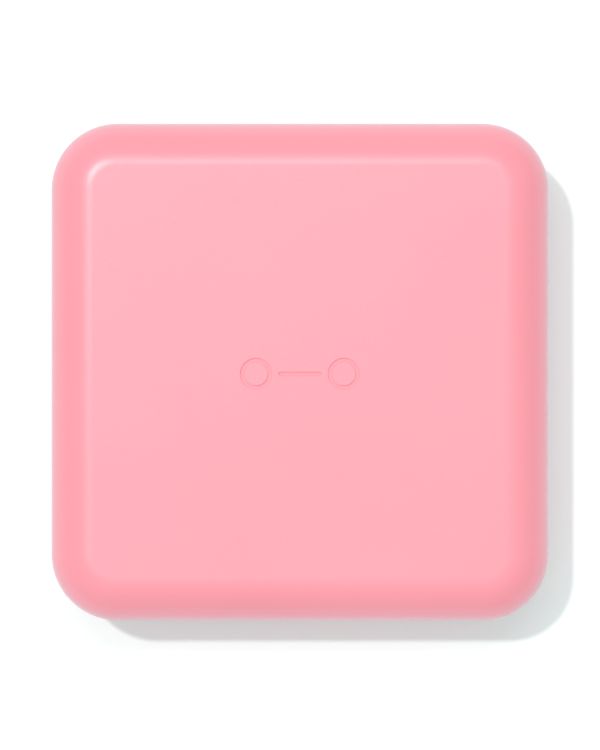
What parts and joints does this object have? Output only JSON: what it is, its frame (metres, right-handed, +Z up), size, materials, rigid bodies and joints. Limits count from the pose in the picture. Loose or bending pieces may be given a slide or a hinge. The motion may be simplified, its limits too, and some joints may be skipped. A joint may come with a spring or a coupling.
{
  "type": "contact lens travel case",
  "caption": "Compact rounded-square hinged case with a mirror in the lid and a fitted tray for a screw-cap lens case, bottle, tweezers and applicator.",
  "frame": {"origin": "centre of the underside of the closed case", "axes": "+Z up, +X to the right seen from the front, +Y towards the hinged back edge; the thumb recess is at -Y"},
  "size_m": [0.072, 0.072, 0.024],
  "materials": {
    "pink_shell": "satin moulded plastic, soft pink",
    "white_plastic": "semi-gloss white moulded plastic",
    "pink_plastic": "semi-gloss pink moulded plastic",
    "mirror_glass": "silvered flat glass",
    "foam_tape": "fine closed-cell foam",
    "steel": "drawn wire, bright",
    "clear_silicone": "translucent silicone",
    "frosted_plastic": "translucent blow-moulded plastic"
  },
  "bodies": {
    "base": {"base_shell": "pink_shell", "inner_tray": "white_plastic", "hinge_pin": "steel", "lens_case_body": "white_plastic", "tweezers_tail": "pink_plastic", "bottle_body": "frosted_plastic", "bottle_nozzle": "white_plastic", "applicator_handle": "pink_plastic", "applicator_cup": "clear_silicone"},
    "lid": {"lid_shell": "pink_shell", "mirror": "mirror_glass", "mirror_tape": "foam_tape"},
    "seal_left": {"cap_seal_left": "clear_silicone"},
    "cap_left": {"lens_cap_left": "pink_plastic"},
    "seal_right": {"cap_seal_right": "clear_silicone"},
    "cap_right": {"lens_cap_right": "white_plastic"},
    "liner": {"bottle_cap_liner": "foam_tape"},
    "bottle_cap_body": {"bottle_cap": "pink_plastic"},
    "arm_front": {"tweezers_arm_front": "white_plastic", "tweezers_tip_front": "clear_silicone"},
    "arm_back": {"tweezers_arm_back": "white_plastic", "tweezers_tip_back": "clear_silicone"}
  },
  "joints": [
    {"name": "lid_hinge", "type": "hinge", "parent": "base", "child": "lid", "pos_m": [0, 0.034, 0.0136], "axis": [-1, 0, 0], "range_deg": [0, 120]},
    {"name": "lens_cap_left_rise", "type": "slide", "parent": "base", "child": "seal_left", "axis": [0, 0, 1], "range_m": [0, 0.00133]},
    {"name": "lens_cap_left_turn", "type": "hinge", "parent": "seal_left", "child": "cap_left", "pos_m": [-0.0166, 0.0162, 0.013], "axis": [0, 0, 1], "range_deg": [0, 120]},
    {"name": "lens_cap_right_rise", "type": "slide", "parent": "base", "child": "seal_right", "axis": [0, 0, 1], "range_m": [0, 0.00133]},
    {"name": "lens_cap_right_turn", "type": "hinge", "parent": "seal_right", "child": "cap_right", "pos_m": [0.0166, 0.0162, 0.013], "axis": [0, 0, 1], "range_deg": [0, 120]},
    {"name": "bottle_cap_rise", "type": "slide", "parent": "base", "child": "liner", "axis": [1, 0, 0], "range_m": [0, 0.001]},
    {"name": "bottle_cap_turn", "type": "hinge", "parent": "liner", "child": "bottle_cap_body", "pos_m": [0.023, -0.0058, 0.0092], "axis": [1, 0, 0], "range_deg": [0, 120]},
    {"name": "tweezers_squeeze_front", "type": "hinge", "parent": "base", "child": "arm_front", "pos_m": [-0.02565, -0.021, 0.0101], "axis": [0, 0, 1], "range_deg": [0, 2.3], "stiffness_Nm_per_rad": 0.5},
    {"name": "tweezers_squeeze_back", "type": "hinge", "parent": "base", "child": "arm_back", "pos_m": [-0.02565, -0.0172, 0.0101], "axis": [0, 0, -1], "range_deg": [0, 2.3], "stiffness_Nm_per_rad": 0.5}
  ],
  "couplings": [
    {"joint": "lens_cap_left_turn", "follows": "lens_cap_left_rise", "rad_per_m": 1570.8},
    {"joint": "lens_cap_right_turn", "follows": "lens_cap_right_rise", "rad_per_m": 1570.8},
    {"joint": "bottle_cap_turn", "follows": "bottle_cap_rise", "rad_per_m": 2094.4},
    {"joint": "tweezers_squeeze_back", "follows": "tweezers_squeeze_front", "ratio": 1}
  ]
}
